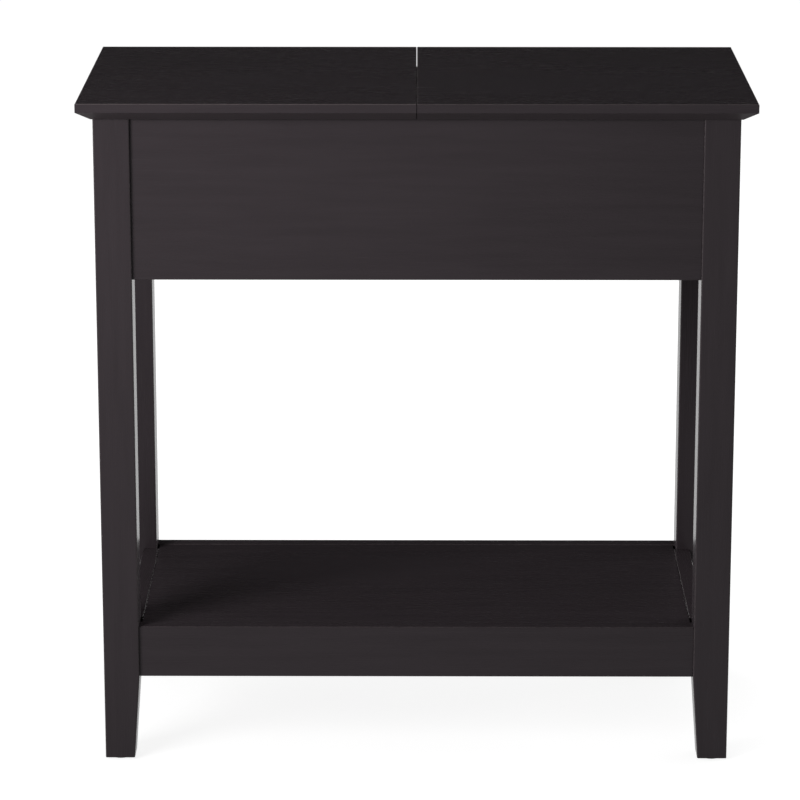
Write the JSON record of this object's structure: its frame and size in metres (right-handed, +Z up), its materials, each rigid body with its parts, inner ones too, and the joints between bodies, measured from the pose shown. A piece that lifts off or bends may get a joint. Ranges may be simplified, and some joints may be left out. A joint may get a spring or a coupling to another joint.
{
  "type": "lift top end table",
  "caption": "Narrow dark wooden end table: the left half of its split bevelled top lifts on rear hinges over a storage box, with tapered square legs and a low shelf in a frame of rails.",
  "frame": {"origin": "on the floor under the middle of the top", "axes": "+Z up, +X to the viewer's right, +Y from the front to the back; the front faces -Y"},
  "size_m": [0.6, 0.305, 0.615],
  "materials": {
    "espresso_wood": "satin, very dark brown paint over wood",
    "dowel_beech": "raw",
    "zinc_plated_steel": "bright zinc plate",
    "cast_zinc": "as cast",
    "hinge_steel": "satin nickel plate",
    "bumper_rubber": "matte",
    "glide_plastic": "matte"
  },
  "bodies": {
    "table": {"leg_front_left": "espresso_wood", "leg_front_right": "espresso_wood", "leg_back_left": "espresso_wood", "leg_back_right": "espresso_wood", "front_apron": "espresso_wood", "back_apron": "espresso_wood", "left_apron": "espresso_wood", "right_apron": "espresso_wood", "top_cross_rail": "espresso_wood", "storage_floor": "espresso_wood", "floor_cleat_front": "espresso_wood", "floor_cleat_back": "espresso_wood", "fixed_top": "espresso_wood", "shelf_front_rail": "espresso_wood", "shelf_back_rail": "espresso_wood", "shelf_left_rail": "espresso_wood", "shelf_right_rail": "espresso_wood", "shelf_panel": "espresso_wood", "shelf_cleat_front": "espresso_wood", "shelf_cleat_back": "espresso_wood", "apron_dowels": "dowel_beech", "rail_dowels": "dowel_beech", "cross_rail_dowels": "dowel_beech", "apron_cam_bolts": "zinc_plated_steel", "rail_cam_bolts": "zinc_plated_steel", "apron_cam_discs": "cast_zinc", "rail_cam_discs": "cast_zinc", "floor_cleat_screws": "zinc_plated_steel", "shelf_cleat_screws": "zinc_plated_steel", "shelf_panel_screws": "zinc_plated_steel", "top_brackets": "zinc_plated_steel", "top_bracket_screws": "zinc_plated_steel", "hinge_left_frame_leaf": "hinge_steel", "hinge_right_frame_leaf": "hinge_steel", "hinge_left_pin": "hinge_steel", "hinge_right_pin": "hinge_steel", "hinge_frame_screws": "hinge_steel", "lid_bumpers": "bumper_rubber", "foot_glides": "glide_plastic"},
    "lid": {"lid_panel": "espresso_wood", "hinge_left_lid_leaf": "hinge_steel", "hinge_right_lid_leaf": "hinge_steel", "hinge_lid_screws": "hinge_steel"}
  },
  "joints": [
    {"name": "lid_hinge", "type": "hinge", "parent": "table", "child": "lid", "pos_m": [-0.15, 0.13885, 0.59565], "axis": [-1, 0, 0], "range_deg": [0, 130]}
  ]
}
